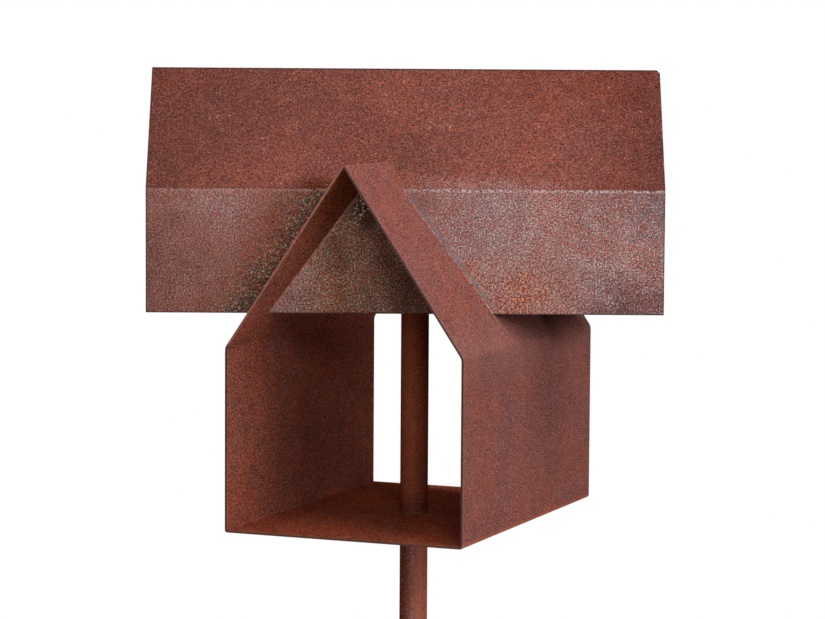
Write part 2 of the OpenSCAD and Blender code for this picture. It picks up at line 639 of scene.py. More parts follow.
@dataclass(frozen=True)
class RoofRust:
    """Finish of the long roof: red rust on the slopes, grey bloom on the skirts, olive rust by the hoods."""

    slope: RustCoat = RustCoat(
        Tint(67, 36, 33), Tint(118, 67, 59), Tint(160, 107, 96), Tint(168, 85, 57), Tint(84, 64, 66),
        warmth=0.7, clouding=0.1, hue_drift=0.22,
    )
    left_skirt: RustCoat = RustCoat(
        Tint(82, 46, 41), Tint(136, 90, 82), Tint(178, 139, 133), Tint(173, 84, 54), Tint(94, 84, 88),
        clouding=0.12, hue_drift=0.25,
    )
    by_hood: RustCoat = RustCoat(
        Tint(42, 24, 17), Tint(112, 78, 66), Tint(182, 158, 142), Tint(172, 74, 37), Tint(77, 76, 72),
        warmth=0.75, clouding=0.2, grains_per_metre=820.0,
    )
    in_hood: RustCoat = RustCoat(
        Tint(43, 22, 14), Tint(131, 92, 77), Tint(208, 187, 166), Tint(196, 81, 38), Tint(88, 92, 86),
        warmth=0.75, clouding=0.15, hue_drift=0.25,
    )
    corner: RustCoat = RustCoat(
        Tint(88, 36, 25), Tint(159, 117, 109), Tint(224, 210, 210), Tint(190, 80, 42), Tint(108, 107, 117)
    )
    right_skirt: RustCoat = RustCoat(
        Tint(85, 19, 8), Tint(150, 112, 105), Tint(206, 196, 197), Tint(184, 71, 33), Tint(98, 100, 110),
        warmth=0.75,
    )
    inside: RustCoat = RustCoat(
        Tint(70, 34, 26), Tint(126, 68, 54), Tint(166, 102, 84), Tint(168, 82, 48), Tint(84, 58, 52)
    )
    specks: Grains = Grains((3.7, 6.9, 8.4), 700.0, 0.0, 0.03, 0.8, Tint(214, 150, 124))
    speck_places: Step = Step(0.52, 0.64)
    left_end: Step = Step.mm(120.0, -235.0)
    dull_left: Tint = Tint(211, 211, 211)
    glow: Patch = Patch(-88.0, 0.0, 95.0, 62.0, SIZES.eave)
    glow_share: float = 0.75
    slope_patches: Patches = (
        (Patch(195.0, 20.0, 90.0, 90.0, SIZES.eave), Tint(206, 205, 207)),
        (Patch(8.0, 24.0, 46.0, 24.0, SIZES.eave), Tint(236, 246, 250)),
        # Painted shadow of the hood on the slope, left of it at the eave.
        (Patch(-62.0, 1.0, 27.0, 11.0, SIZES.eave), Tint(194, 166, 146)),
        (Patch(130.0, -4.0, 110.0, 46.0, SIZES.roof_top_h), Tint(230, 216, 208)),
    )
    drift: Noise = Noise(26.0, 2.0, shift=(4.0, 1.0, 2.0))
    sway: Step = Step(0.3, 0.7, -0.25, 0.25)
    right_half: Step = Step.mm(-10.0, 30.0)
    bloom: Patch = Patch(-118.0, -14.0, 40.0, 40.0, SIZES.eave, ragged=0.3)
    bloom_share: float = 0.55
    left_of_hood: Step = Step.mm(16.4, -2.1)
    hood_lean: float = 0.1
    near_hood: Step = Step.mm(44.0, 12.0)
    near_sway: float = 0.6
    near_grains: Noise = Noise(640.0, 1.0, shift=(5.5, 8.1, 1.9))
    near_spread: float = 2.2
    near_cut: Step = Step(0.25, 0.75)
    fringe: Grains = Grains((1.3, 7.4, 3.8), 560.0, 0.3, 0.06, 0.5, Tint(160, 70, 42))
    fringe_band: Band = Band.mm(24.0, 34.0, 9.0)
    # Damp stain and painted shade on the skirts beside the hoods' left slopes.
    damp: Tint = Tint(132, 129, 127)
    damp_reach: Step = Step.mm(27.0, -6.0)
    corner_line: Step = Step.mm(-48.0, -82.0)
    hood_line: Step = Step.mm(1.0, -1.0)
    scabs: Patch = Patch(74.0, 12.0, 66.0, 52.0, SIZES.skirt_lift, ragged=0.3)
    scab_kinds: tuple[Grains, ...] = (
        Grains((2.4, 5.1, 6.3), 640.0, 0.46, 0.03, 0.75, Tint(136, 50, 32)),
        Grains((9.2, 3.3, 0.7), 640.0, 0.24, 0.03, 0.75, Tint(226, 156, 118)),
    )
    skirt_patches: Patches = (
        (Patch(-200.0, 30.0, 100.0, 80.0, SIZES.skirt_lift), Tint(214, 210, 210)),
        (Patch(158.0, -4.0, 58.0, 50.0, SIZES.skirt_lift, ragged=0.22), Tint(172, 160, 166)),
        (Patch(186.0, 0.0, 74.0, 58.0, SIZES.eave), Tint(214, 236, 250)),
        # The next four are painted shade on the skirts inside the hoods: low middle, upper left, apex and low
        # left.
        (Patch(0.0, 12.0, 42.0, 62.0, SIZES.skirt_lift), Tint(212, 210, 208)),
        (Patch(-46.0, 46.0, 15.0, 32.0, SIZES.skirt_lift), Tint(220, 218, 216)),
        (Patch(-28.0, 74.0, 18.0, 20.0, SIZES.skirt_lift), Tint(160, 158, 156)),
        (Patch(-78.0, 8.0, 36.0, 28.0, SIZES.skirt_lift), Tint(226, 222, 220)),
    )
    eave_line: Step = Step.mm(0.3, -1.8, SIZES.eave)
    creep_up: Step = Step.mm(13.0, 0.0, SIZES.eave)
    creep_from: Step = Step.mm(-30.0, 10.0)
    creep_to: Step = Step.mm(140.0, 70.0)
    creep_share: float = 0.45
    worn_height: float = SIZES.eave - 0.8 * MM
    worn_width: float = 1.45 * MM
    worn_cover: Step = Step.mm(-60.0, 30.0, low=0.5, high=0.42)
    worn_share: Step = Step.mm(-60.0, 30.0, low=0.42, high=0.75)
    worn_change: Step = Step.mm(-40.0, 60.0)
    worn_left: Tint = Tint(176, 146, 136)
    worn_right: Tint = Tint(194, 180, 179)
    heat: Tint = Tint(122, 112, 118)
    heat_band: Band = Band.mm(0.0, 2.0, 3.0)
    heat_share: float = 0.45
    flecks: Grains = Grains((6.6, 0.2, 9.1), 760.0, 0.13, 0.05, 0.6, Tint(204, 184, 160))
    fleck_band: Band = Band.mm(0.0, 20.0, 14.0)
    fleck_side: Step = Step.mm(0.0, -20.0)
    apex_flecks: Grains = Grains((2.2, 4.4, 0.9), 660.0, 0.17, 0.05, 0.95, Tint(255, 246, 206))
    apex_band: Band = Band.mm(-12.0, -1.0, 4.0)
    apex_side: Band = Band.mm(-14.0, 8.0, 5.0)
    fresh: Tint = Tint(204, 116, 70)
    fresh_offset: float = 0.4 * MM
    inner_width: float = 1.3 * MM
    inner_cover: float = 0.6
    outer_width: float = 1.2 * MM
    outer_cover: float = 0.55
    outer_share: float = 0.4
    fresh_share: float = 0.75
    ridge: Tint = Tint(70, 44, 42)
    ridge_line: Step = Step.mm(-1.4, -0.6, SIZES.roof_top_h)
    ridge_share: float = 0.8
    edge: Tint = Tint(60, 48, 48)
    edge_share: float = 0.85
    end_line: Step = Step.mm(-1.3, -0.3, SIZES.roof_len / 2, high=0.75)
    rim_line: Step = Step.mm(1.2, 0.3, SIZES.skirt_lift, high=0.8)
    end_flecks: Grains = Grains((0.6, 1.4, 2.8), 420.0, 0.16, 0.04, 0.85, Tint(236, 112, 54))
    right_end: Step = Step(0.0, SIZES.roof_len / 2)
    roughness: float = 0.88
    relief: Relief = Relief(0.25 * MM, 0.4)

    def material(self, effects: RustEffects) -> bpy.types.Material:
        """Builds the material.

        Args:
            effects: the shared effects.
        Returns:
            The material.
        """
        desk = MaterialDesk("roof_rust", self.roughness, effects)
        graph, turned = desk.graph, desk.turned()
        slope = self.slope.lay(desk, turned)
        spot = self.spot(desk, turned, slope)
        under = graph.fade(spot.height, self.eave_line)
        skirts = self.stained(desk, spot, self.bloomed(desk, spot))
        colour = self.eaved(desk, spot, self.dulled(desk, spot, slope), skirts, under)
        colour = self.seamed(desk, spot, colour, under)
        inside = self.inside.lay(desk, turned)["Colour"]
        colour = graph.layer(desk.inward(SIZES.roof_across, spot.across), colour, inside)
        top = graph.times(graph.fade(spot.height, self.ridge_line), self.ridge_share)
        colour = graph.layer(top, colour, self.ridge)
        return desk.finish(self.edged(desk, spot, colour), slope["Height"], self.relief)

    @staticmethod
    def spot(desk: MaterialDesk, turned: Socket, slope: Outputs) -> RoofSpot:
        """Finds where the roof's points lie, in its own frame and by the hoods.

        Args:
            desk: the material under way.
            turned: place in the roof's frame.
            slope: the slopes' coat.
        Returns:
            The spot; its distance from the hood's outside is below nothing inside the hood.
        """
        graph = desk.graph
        along, across, height = graph.axes(turned)
        aside = graph.axes(desk.place)[0]
        outwards = graph.times(graph.math("ABSOLUTE", aside), math.sin(SIZES.house_pitch))
        upwards = graph.times(graph.math("SUBTRACT", height, SIZES.house_ridge), math.cos(SIZES.house_pitch))
        hood = graph.math("ADD", outwards, upwards)
        ragged = graph.times(graph.math("ADD", slope["Blotches"], slope["Height"]), MIDDLE)
        return RoofSpot(turned, along, across, height, aside, hood, ragged)

    @staticmethod
    def patched(graph: Graph, spot: RoofSpot, colour: Socket, patches: Patches, ragged: Socket) -> Socket:
        """Darkens a colour in patches.

        Args:
            graph: the material's graph.
            spot: where the roof's points lie.
            colour: the colour so far.
            patches: the patches and their tints.
            ragged: noise that breaks up their edges.
        Returns:
            The darkened colour.
        """
        for patch, tint in patches:
            colour = graph.shade(patch.mask(graph, spot, ragged), colour, tint)
        return colour

    def dulled(self, desk: MaterialDesk, spot: RoofSpot, slope: Outputs) -> Socket:
        """Strews pale specks on the slopes and darkens them towards their left end and in patches, one a
        painted shadow.

        Args:
            desk: the material under way.
            spot: where the roof's points lie.
            slope: the slopes' coat.
        Returns:
            The slopes' colour.
        """
        graph, clouds = desk.graph, slope["Clouds"]
        here_and_there = graph.fade(slope["Blotches"], self.speck_places)
        colour = desk.strewn(slope["Colour"], self.specks, spot.turned, here_and_there)
        glow = graph.times(self.glow.mask(graph, spot, clouds), self.glow_share)
        left = graph.times(graph.fade(spot.along, self.left_end), graph.math("SUBTRACT", 1.0, glow))
        colour = graph.shade(left, colour, self.dull_left)
        return self.patched(graph, spot, colour, self.slope_patches, clouds)

    def bloomed(self, desk: MaterialDesk, spot: RoofSpot) -> Socket:
        """Lays the skirts' coats: red-brown to the left, greyer to the right, olive by and in the hoods.

        Args:
            desk: the material under way.
            spot: where the roof's points lie.
        Returns:
            The skirts' colour.
        """
        graph = desk.graph
        coats = (self.left_skirt, self.right_skirt, self.by_hood, self.in_hood, self.corner)
        left, right, dark, olive, pale = (coat.lay(desk, spot.turned)["Colour"] for coat in coats)
        sway = graph.fade(graph.noise(spot.turned, self.drift), self.sway)
        right_share = graph.math("ADD", graph.fade(spot.along, self.right_half), sway, clamp=True)
        colour = graph.layer(right_share, left, right)
        bloom = graph.times(self.bloom.mask(graph, spot, spot.ragged), self.bloom_share)
        colour = graph.layer(bloom, colour, right)
        on_left = graph.fade(spot.aside, self.left_of_hood)
        lean = graph.times(graph.math("SUBTRACT", spot.height, SIZES.skirt_lift), self.hood_lean)
        spread = graph.math("SUBTRACT", spot.hood, lean)
        near = graph.math("ADD", graph.fade(spread, self.near_hood), graph.times(sway, self.near_sway))
        strewn = graph.math("SUBTRACT", graph.noise(spot.turned, self.near_grains), MIDDLE)
        near = graph.math("ADD", near, graph.times(strewn, self.near_spread))
        colour = graph.layer(graph.times(graph.fade(near, self.near_cut), on_left), colour, dark)
        on_fringe = graph.within(spot.hood, self.fringe_band)
        colour = desk.strewn(colour, self.fringe, spot.turned, on_fringe, on_left)
        # Damp stain and painted shade: darkens the skirt beside the hood's left slope.
        damp = graph.times(graph.fade(spread, self.damp_reach), on_left)
        colour = graph.shade(damp, colour, self.damp)
        corner = graph.layer(graph.fade(spot.along, self.corner_line), olive, pale)
        return graph.layer(graph.fade(spot.hood, self.hood_line), colour, corner)

    def stained(self, desk: MaterialDesk, spot: RoofSpot, colour: Socket) -> Socket:
        """Lays coarse scabs of rust where the skirts have caught water, and darkens them in patches, some
        painted shade.

        Args:
            desk: the material under way.
            spot: where the roof's points lie.
            colour: the skirts' colour so far.
        Returns:
            The stained colour.
        """
        share = self.scabs.mask(desk.graph, spot, spot.ragged)
        for kind in self.scab_kinds:
            colour = desk.strewn(colour, kind, spot.turned, share)
        return self.patched(desk.graph, spot, colour, self.skirt_patches, spot.ragged)

    def eaved(
        self, desk: MaterialDesk, spot: RoofSpot, colour: Socket, skirts: Socket, under: Socket
    ) -> Socket:
        """Joins slopes and skirts at the eave: bloom creeps over the fold, which is worn pale.

        Args:
            desk: the material under way.
            spot: where the roof's points lie.
            colour: the slopes' colour.
            skirts: the skirts' colour.
            under: mask of the skirts.
        Returns:
            The colour of both.
        """
        graph, along = desk.graph, spot.along
        creep = graph.times(graph.fade(spot.height, self.creep_up), graph.fade(along, self.creep_from))
        creep = graph.times(creep, graph.fade(along, self.creep_to), self.creep_share)
        colour = graph.layer(under, graph.layer(creep, colour, skirts), skirts)
        distance = graph.math("SUBTRACT", spot.height, self.worn_height)
        worn = desk.worn(spot.turned, distance, self.worn_width, graph.fade(along, self.worn_cover))
        pale = graph.layer(graph.fade(along, self.worn_change), self.worn_left, self.worn_right)
        return graph.layer(graph.times(worn, graph.fade(along, self.worn_share)), colour, pale)

    def seamed(self, desk: MaterialDesk, spot: RoofSpot, colour: Socket, under: Socket) -> Socket:
        """Lays the smooth grey heat mark beside the weld beads, pale flecks and fresh rust by the hoods.

        Args:
            desk: the material under way.
            spot: where the roof's points lie.
            colour: the colour so far.
            under: mask of the skirts.
        Returns:
            The colour with the marks.
        """
        graph, hood = desk.graph, spot.hood
        band = graph.times(graph.within(hood, self.heat_band), under, self.heat_share)
        colour = graph.layer(band, colour, self.heat)
        outer_left = graph.times(graph.within(hood, self.fleck_band), graph.fade(spot.aside, self.fleck_side))
        colour = desk.strewn(colour, self.flecks, spot.turned, outer_left, under)
        at_apex = graph.times(graph.within(hood, self.apex_band), graph.within(spot.aside, self.apex_side))
        colour = desk.strewn(colour, self.apex_flecks, spot.turned, at_apex, under)
        inside = graph.math("ADD", hood, SIZES.sheet + self.fresh_offset)
        inner_line = desk.worn(spot.turned, inside, self.inner_width, self.inner_cover)
        outside = graph.math("SUBTRACT", hood, self.fresh_offset)
        outer_line = desk.worn(spot.turned, outside, self.outer_width, self.outer_cover)
        upper = graph.times(outer_line, graph.math("SUBTRACT", 1.0, under), self.outer_share)
        line = graph.math("MAXIMUM", graph.times(inner_line, under), upper)
        return graph.layer(graph.times(line, self.fresh_share), colour, self.fresh)

    def edged(self, desk: MaterialDesk, spot: RoofSpot, colour: Socket) -> Socket:
        """Lays dark steel on the cut edges, a thin dark line beside them, and flecks at the right-hand end.

        Args:
            desk: the material under way.
            spot: where the roof's points lie.
            colour: the colour so far.
        Returns:
            The colour with its edges.
        """
        graph = desk.graph
        ends, rims = desk.cut(SIZES.roof_along), desk.cut(UP)
        by_end = graph.fade(graph.math("ABSOLUTE", spot.along), self.end_line)
        by_rim = graph.fade(spot.height, self.rim_line)
        cut = graph.times(graph.math("MAXIMUM", ends, rims), self.edge_share)
        beside = graph.math("MAXIMUM", by_end, by_rim)
        colour = graph.layer(graph.math("MAXIMUM", cut, beside), colour, self.edge)
        at_end = graph.times(graph.math("MAXIMUM", ends, by_end), graph.fade(spot.along, self.right_end))
        return desk.strewn(colour, self.end_flecks, desk.place, at_end)


@dataclass(frozen=True)
class HouseSpot:
    """Where a point of the house lies: aside, towards the back, and up from the floor's underside."""

    lifted: Socket
    aside: Socket
    depth: Socket
    height: Socket


@dataclass(frozen=True)
class HouseRust:
    """Finish of the house: smooth pinkish rust outside, deep red rust inside."""

    outside: RustCoat = RustCoat(
        Tint(70, 38, 37), Tint(130, 79, 72), Tint(176, 123, 116), Tint(180, 87, 56), Tint(86, 78, 86),
        warmth=0.7, clouding=0.1, hue_drift=0.25,
    )
    inside: RustCoat = RustCoat(
        Tint(44, 21, 15), Tint(130, 73, 61), Tint(194, 131, 114), Tint(207, 91, 47), Tint(67, 57, 57),
        warmth=0.7, clouding=0.1, hue_drift=0.25,
    )
    bloom: Tint = Tint(158, 120, 114)
    fold_reach: Step = Step.mm(30.0, 4.0)
    fold_share: float = 0.3
    # Painted shadow of the roof's skirts on the house's sides under them.
    sheltered: Tint = Tint(92, 90, 88)
    shelter_across: Step = Step.mm(92.0, 64.0)
    shelter_behind: Step = Step.mm(30.0, 54.0)
    shelter_up: Step = Step.mm(110.0, 146.0)
    rim: Tint = Tint(196, 104, 70)
    rim_width: float = 3.6 * MM
    rim_cover: float = 0.85
    rim_share: float = 0.8
    off_underside: Step = Step(-0.95, -0.6)
    facing_up: Step = Step(0.8, 0.95)
    floor_line: Step = Step.mm(6.0, 4.0)
    # Darker, redder tone on the floor's top.
    floor_dirt: Tint = Tint(236, 212, 190)
    # Painted shade on the inside faces, deepening towards the ridge.
    ridge_dirt: Tint = Tint(200, 184, 150)
    ridge_reach: Step = Step.mm(-66.0, -24.0, SIZES.house_ridge)
    streaks: float = 70.0
    streak_share: float = 0.06
    worn: Tint = Tint(164, 116, 100)
    worn_width: float = 3.0 * MM
    worn_cover: float = 0.4
    worn_share: float = 0.5
    left_edge: Tint = Tint(150, 98, 90)
    right_edge: Tint = Tint(74, 60, 62)
    wall_edge: Tint = Tint(58, 42, 40)
    floor_edge: Tint = Tint(72, 56, 52)
    middle_line: Step = Step.mm(-1.0, 1.0)
    wall_top: Step = Step.mm(4.0, 0.0, SIZES.wall_h)
    wall_foot: Step = Step.mm(4.0, 2.0)
    edge_share: float = 0.85
    edge_flecks: Grains = Grains(NOWHERE, 420.0, 0.06, 0.04, 0.8, Tint(222, 130, 74))
    gable_line: Step = Step.mm(20.0, 50.0, SIZES.wall_h)
    left_line: Step = Step.mm(0.0, -10.0)
    roughness: float = 0.86
    relief: Relief = Relief(0.2 * MM, 0.35)

    def material(self, effects: RustEffects) -> bpy.types.Material:
        """Builds the material.

        Args:
            effects: the shared effects.
        Returns:
            The material.
        """
        desk = MaterialDesk("house_rust", self.roughness, effects)
        lifted = desk.graph.mapped(desk.place, (0.0, 0.0, -SIZES.floor))
        spot = HouseSpot(lifted, *desk.graph.axes(lifted))
        outside = self.outside.lay(desk, lifted)
        colour = self.lined(desk, spot, self.weathered(desk, spot, outside))
        return desk.finish(self.edged(desk, spot, colour), outside["Height"], self.relief)

    def weathered(self, desk: MaterialDesk, spot: HouseSpot, outside: Outputs) -> Socket:
        """Lays bloom by the eave's fold, a painted shadow under the roof's skirts and bright rust round the
        floor.

        Args:
            desk: the material under way.
            spot: where the house's points lie.
            outside: the outside's coat.
        Returns:
            The outside's colour.
        """
        graph = desk.graph
        fold = graph.math("ABSOLUTE", graph.math("SUBTRACT", spot.height, SIZES.wall_h))
        by_fold = graph.times(graph.fade(fold, self.fold_reach), outside["Clouds"], self.fold_share)
        colour = graph.layer(by_fold, outside["Colour"], self.bloom)
        across = graph.math("ABSOLUTE", graph.axes(desk.turned())[1])
        behind = graph.times(spot.depth, graph.math("SIGN", spot.aside))
        # Painted shadow on the sides under the roof's skirts, deepening upwards towards the skirts' lower
        # edges.
        sheltered = graph.times(
            graph.fade(across, self.shelter_across),
            graph.fade(behind, self.shelter_behind),
            graph.fade(spot.height, self.shelter_up),
        )
        colour = graph.shade(sheltered, colour, self.sheltered)
        rim = desk.worn(spot.lifted, spot.height, self.rim_width, self.rim_cover)
        on_side = graph.fade(graph.along(desk.facing, UP), self.off_underside)
        return graph.layer(graph.times(rim, on_side, self.rim_share), colour, self.rim)

    def lined(self, desk: MaterialDesk, spot: HouseSpot, colour: Socket) -> Socket:
        """Lays the inside's coat, a darker floor top, painted shade inside under the ridge, and faint runs
        over all.

        Args:
            desk: the material under way.
            spot: where the house's points lie.
            colour: the outside's colour.
        Returns:
            The colour of both sides.
        """
        graph = desk.graph
        inside = self.inside.lay(desk, spot.lifted)["Colour"]
        walls = desk.inward(ASIDE, spot.aside)
        upward = graph.fade(graph.along(desk.facing, UP), self.facing_up)
        floor_top = graph.times(upward, graph.fade(spot.height, self.floor_line))
        colour = graph.layer(graph.math("MAXIMUM", walls, floor_top), colour, inside)
        colour = graph.shade(floor_top, colour, self.floor_dirt)
        # Painted shade on the inside faces, deepening towards the ridge.
        under_ridge = graph.times(graph.fade(spot.height, self.ridge_reach), walls)
        colour = graph.shade(under_ridge, colour, self.ridge_dirt)
        runs = graph.times(desk.runs(spot.lifted, self.streaks), self.streak_share)
        return graph.layer(runs, colour, self.outside.dark)

    def edged(self, desk: MaterialDesk, spot: HouseSpot, colour: Socket) -> Socket:
        """Wears the sheet beside its open ends, and lays steel and flecks on the cut edges.

        Args:
            desk: the material under way.
            spot: where the house's points lie.
            colour: the colour so far.
        Returns:
            The colour with its edges.
        """
        graph = desk.graph
        front = graph.math("SUBTRACT", graph.math("ABSOLUTE", spot.depth), SIZES.house_depth / 2)
        worn = graph.times(desk.worn(spot.lifted, front, self.worn_width, self.worn_cover), self.worn_share)
        colour = graph.layer(worn, colour, self.worn)
        edge = graph.layer(graph.fade(spot.aside, self.middle_line), self.left_edge, self.right_edge)
        edge = graph.layer(graph.fade(spot.height, self.wall_top), edge, self.wall_edge)
        edge = graph.layer(graph.fade(spot.height, self.wall_foot), edge, self.floor_edge)
        cut = desk.cut(BACKWARDS)
        colour = graph.layer(graph.times(cut, self.edge_share), colour, edge)
        on_gable, on_left = graph.fade(spot.height, self.gable_line), graph.fade(spot.aside, self.left_line)
        return desk.strewn(colour, self.edge_flecks, spot.lifted, cut, on_gable, on_left)


@dataclass(frozen=True)
class PostRust:
    """Finish of the tube: orange-brown rust under the roof, greyer with pale streaks below the floor."""

    coat: RustCoat = RustCoat(
        Tint(121, 60, 41), Tint(149, 78, 54), Tint(171, 100, 74), Tint(174, 83, 48), Tint(120, 69, 51)
    )
    low_coat: RustCoat = RustCoat(
        Tint(80, 38, 29), Tint(143, 81, 66), Tint(188, 130, 115), Tint(174, 82, 50), Tint(112, 88, 85)
    )
    run_heading: float = math.radians(-58.0)
    damp_heading: float = math.radians(-150.0)
    dry_heading: float = math.radians(-8.0)
    streak: Tint = Tint(154, 128, 124)
    streaks: float = 240.0
    streak_strength: Step = Step(0.0, 0.6, 0.45, 1.0)
    streak_reach: Step = Step(0.84, 0.97)
    streak_share: float = 0.55
    side_reach: Step = Step(0.3, 0.95)
    # Painted shade on the post's left side and painted light on its right side, below the floor.
    damp: Tint = Tint(196, 188, 188)
    dry: Tint = Tint(190, 98, 70)
    dry_share: float = 0.4
    # Painted shade on the post's right side above the floor, inside the house.
    lee: Tint = Tint(224, 214, 216)
    # Painted shade on the post just above the floor, where the two meet.
    foot_dirt: Tint = Tint(184, 174, 178)
    foot_reach: Step = Step.mm(24.0, 4.0, SIZES.floor)
    ground: Tint = Tint(168, 128, 112)
    rings: Noise = Noise(230.0, 3.0, squeeze=(0.5, 0.5, 6.0))
    ring_strength: Step = Step(0.45, 0.7)
    ring_band: Band = Band.mm(4.0, 11.0, 4.0, SIZES.floor)
    ring_share: float = 0.24
    floor_line: Step = Step.mm(2.0, -14.0, SIZES.floor)
    edge: Tint = Tint(78, 60, 56)
    edge_share: float = 0.8
    roughness: float = 0.84
    relief: Relief = Relief(0.2 * MM, 0.35)

    def material(self, effects: RustEffects) -> bpy.types.Material:
        """Builds the material.

        Args:
            effects: the shared effects.
        Returns:
            The material.
        """
        desk = MaterialDesk("post_rust", self.roughness, effects)
        graph, height = desk.graph, desk.graph.axes(desk.place)[2]
        lower = self.low_coat.lay(desk, desk.place)
        run_side, left_facing, right_facing = (
            graph.along(desk.facing, (math.cos(heading), math.sin(heading), 0.0))
            for heading in (self.run_heading, self.damp_heading, self.dry_heading)
        )
        # Mask of the right side: painted light below the floor, painted shade above it.
        dry = graph.fade(right_facing, self.side_reach)
        streaks = graph.fade(desk.runs(desk.place, self.streaks), self.streak_strength)
        run = graph.times(graph.fade(run_side, self.streak_reach), streaks, self.streak_share)
        weathered = graph.layer(run, lower["Colour"], self.streak)
        # Painted shade on the left side and painted light on the right side, below the floor.
        weathered = graph.shade(graph.fade(left_facing, self.side_reach), weathered, self.damp)
        weathered = graph.layer(graph.times(dry, self.dry_share), weathered, self.dry)
        # Painted shade on the right side above the floor.
        colour = graph.shade(dry, self.coat.lay(desk, desk.place)["Colour"], self.lee)
        # Painted shade: darker just above the floor.
        colour = graph.shade(graph.fade(height, self.foot_reach), colour, self.foot_dirt)
        rings = graph.fade(graph.noise(desk.place, self.rings), self.ring_strength)
        cleaned = graph.times(graph.within(height, self.ring_band), rings, self.ring_share)
        colour = graph.layer(cleaned, colour, self.ground)
        colour = graph.layer(graph.fade(height, self.floor_line), colour, weathered)
        colour = graph.layer(graph.times(desk.cut(UP), self.edge_share), colour, self.edge)
        return desk.finish(colour, lower["Height"], self.relief)


@dataclass(frozen=True)
class WeldSteel:
    """Finish of the weld beads: dull grey-brown steel with rust starting on it, redder above the eave."""

    name: str
    coat: RustCoat
    high: Tint = Tint(196, 160, 152)
    eave_line: Step = Step.mm(-4.0, 4.0, SIZES.floor + SIZES.eave)
    roughness: float = 0.7
    relief: Relief = Relief(0.1 * MM, 0.3)

    def material(self, effects: RustEffects) -> bpy.types.Material:
        """Builds the material.

        Args:
            effects: the shared effects.
        Returns:
            The material.
        """
        desk = MaterialDesk(self.name, self.roughness, effects)
        coat = self.coat.lay(desk, desk.place)
        above = desk.graph.fade(desk.graph.axes(desk.place)[2], self.eave_line)
        colour = desk.graph.shade(above, coat["Colour"], self.high)
        return desk.finish(colour, coat["Height"], self.relief)


SEAM_STEEL = WeldSteel(
    "seam_steel",
    RustCoat(
        Tint(100, 72, 66), Tint(148, 116, 106), Tint(200, 176, 164), Tint(206, 112, 62), Tint(116, 106, 112),
        warmth=0.8, grains_per_metre=380.0,
    ),
)
COLLAR_STEEL = WeldSteel(
    "collar_steel",
    RustCoat(Tint(64, 36, 30), Tint(108, 62, 52), Tint(150, 100, 86), Tint(150, 78, 50), Tint(80, 60, 56)),
)


class BeadMaker:
    """Sweeps weld beads, round in section, along a path."""

    SIDES = 10

    @staticmethod
    def ring_place(here: Vector, heading: Vector, radius: float) -> Matrix:
        """Gives the matrix that takes a ring of radius 1 on the XY plane to its place on a bead."""
        turn = heading.to_track_quat("Z", "Y").to_matrix().to_4x4()
        return Matrix.Translation(here) @ turn @ Matrix.Diagonal((radius, radius, radius, 1.0))

    def sweep(self, name: str, path: list[Vector], radii: list[float]) -> bpy.types.Object:
        """Makes a bead as an object at the origin, with its place in its mesh.

        Args:
            name: the piece's name.
            path: middles of the rings.
            radii: their radii.
        Returns:
            The new object.
        """
        last = len(path) - 1
        places = []
        for i, (here, radius) in enumerate(zip(path, radii)):
            heading = path[min(i + 1, last)] - path[max(i - 1, 0)]
            places.append(self.ring_place(here, heading.normalized(), radius))
        bm = bmesh.new()
        bmesh.ops.create_circle(bm, cap_ends=True, segments=self.SIDES, radius=1.0, matrix=places[0])
        edges = list(bm.edges)
        for before, after in zip(places, places[1:]):
            grown = bmesh.ops.extrude_edge_only(bm, edges=edges)["geom"]
            verts = [g for g in grown if isinstance(g, bmesh.types.BMVert)]
            new = set(verts)
            edges = [g for g in grown if isinstance(g, bmesh.types.BMEdge) and set(g.verts) <= new]
            bmesh.ops.transform(bm, matrix=after @ before.inverted(), verts=verts)
        bmesh.ops.edgeloop_fill(bm, edges=edges)
        return self.finish(bm, name)

    @staticmethod
    def finish(bm: bmesh.types.BMesh, name: str) -> bpy.types.Object:
        """Turns the faces outwards, smooths them and makes the object.

        Args:
            bm: the finished shape.
            name: the piece's name.
        Returns:
            The new object.
        """
        bmesh.ops.recalc_face_normals(bm, faces=bm.faces)
        for face in bm.faces:
            face.smooth = True
        mesh = bpy.data.meshes.new(name)
        bm.to_mesh(mesh)
        bm.free()
        made = bpy.data.objects.new(name, mesh)
        bpy.context.scene.collection.objects.link(made)
        return made


def dress(piece: bpy.types.Object, material: bpy.types.Material) -> None:
    """Gives a piece one material in place of those it has."""
    piece.data.materials.clear()
    piece.data.materials.append(material)


def add_piece(piece: bpy.types.Object, material: bpy.types.Material) -> None:
    """Dresses a new piece and puts it on the part.

    Args:
        piece: the new piece.
        material: its material.
    """
    dress(piece, material)
    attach(piece, BODY)
    LOG.info("piece %s: %d faces", piece.name, len(piece.data.polygons))


@dataclass
class FoldedSheet:
    """One folded sheet, each flat of which is a CAD node."""

    nodes: tuple[str, ...]
    rust: RoofRust | HouseRust

    def build(self, effects: RustEffects) -> None:
        """Dresses the sheet's CAD nodes.

        Args:
            effects: the shared effects.
        """
        material = self.rust.material(effects)
        for node in self.nodes:
            dress(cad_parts[node], material)
            LOG.info("dressed %s", node)


@dataclass
class RoofSheet(FoldedSheet):
    """The long folded roof: two slopes and two skirts."""

    nodes: tuple[str, ...] = ("roof_front_skirt", "roof_front_slope", "roof_back_slope", "roof_back_skirt")
    rust: RoofRust = RoofRust()


@dataclass
class HouseBand(FoldedSheet):
    """The house: a closed band of sheet with a floor, two walls and two slopes."""

    nodes: tuple[str, ...] = (
        "house_floor",
        "house_left_wall",
        "house_right_wall",
        "house_left_slope",
        "house_right_slope",
    )
    rust: HouseRust = HouseRust()


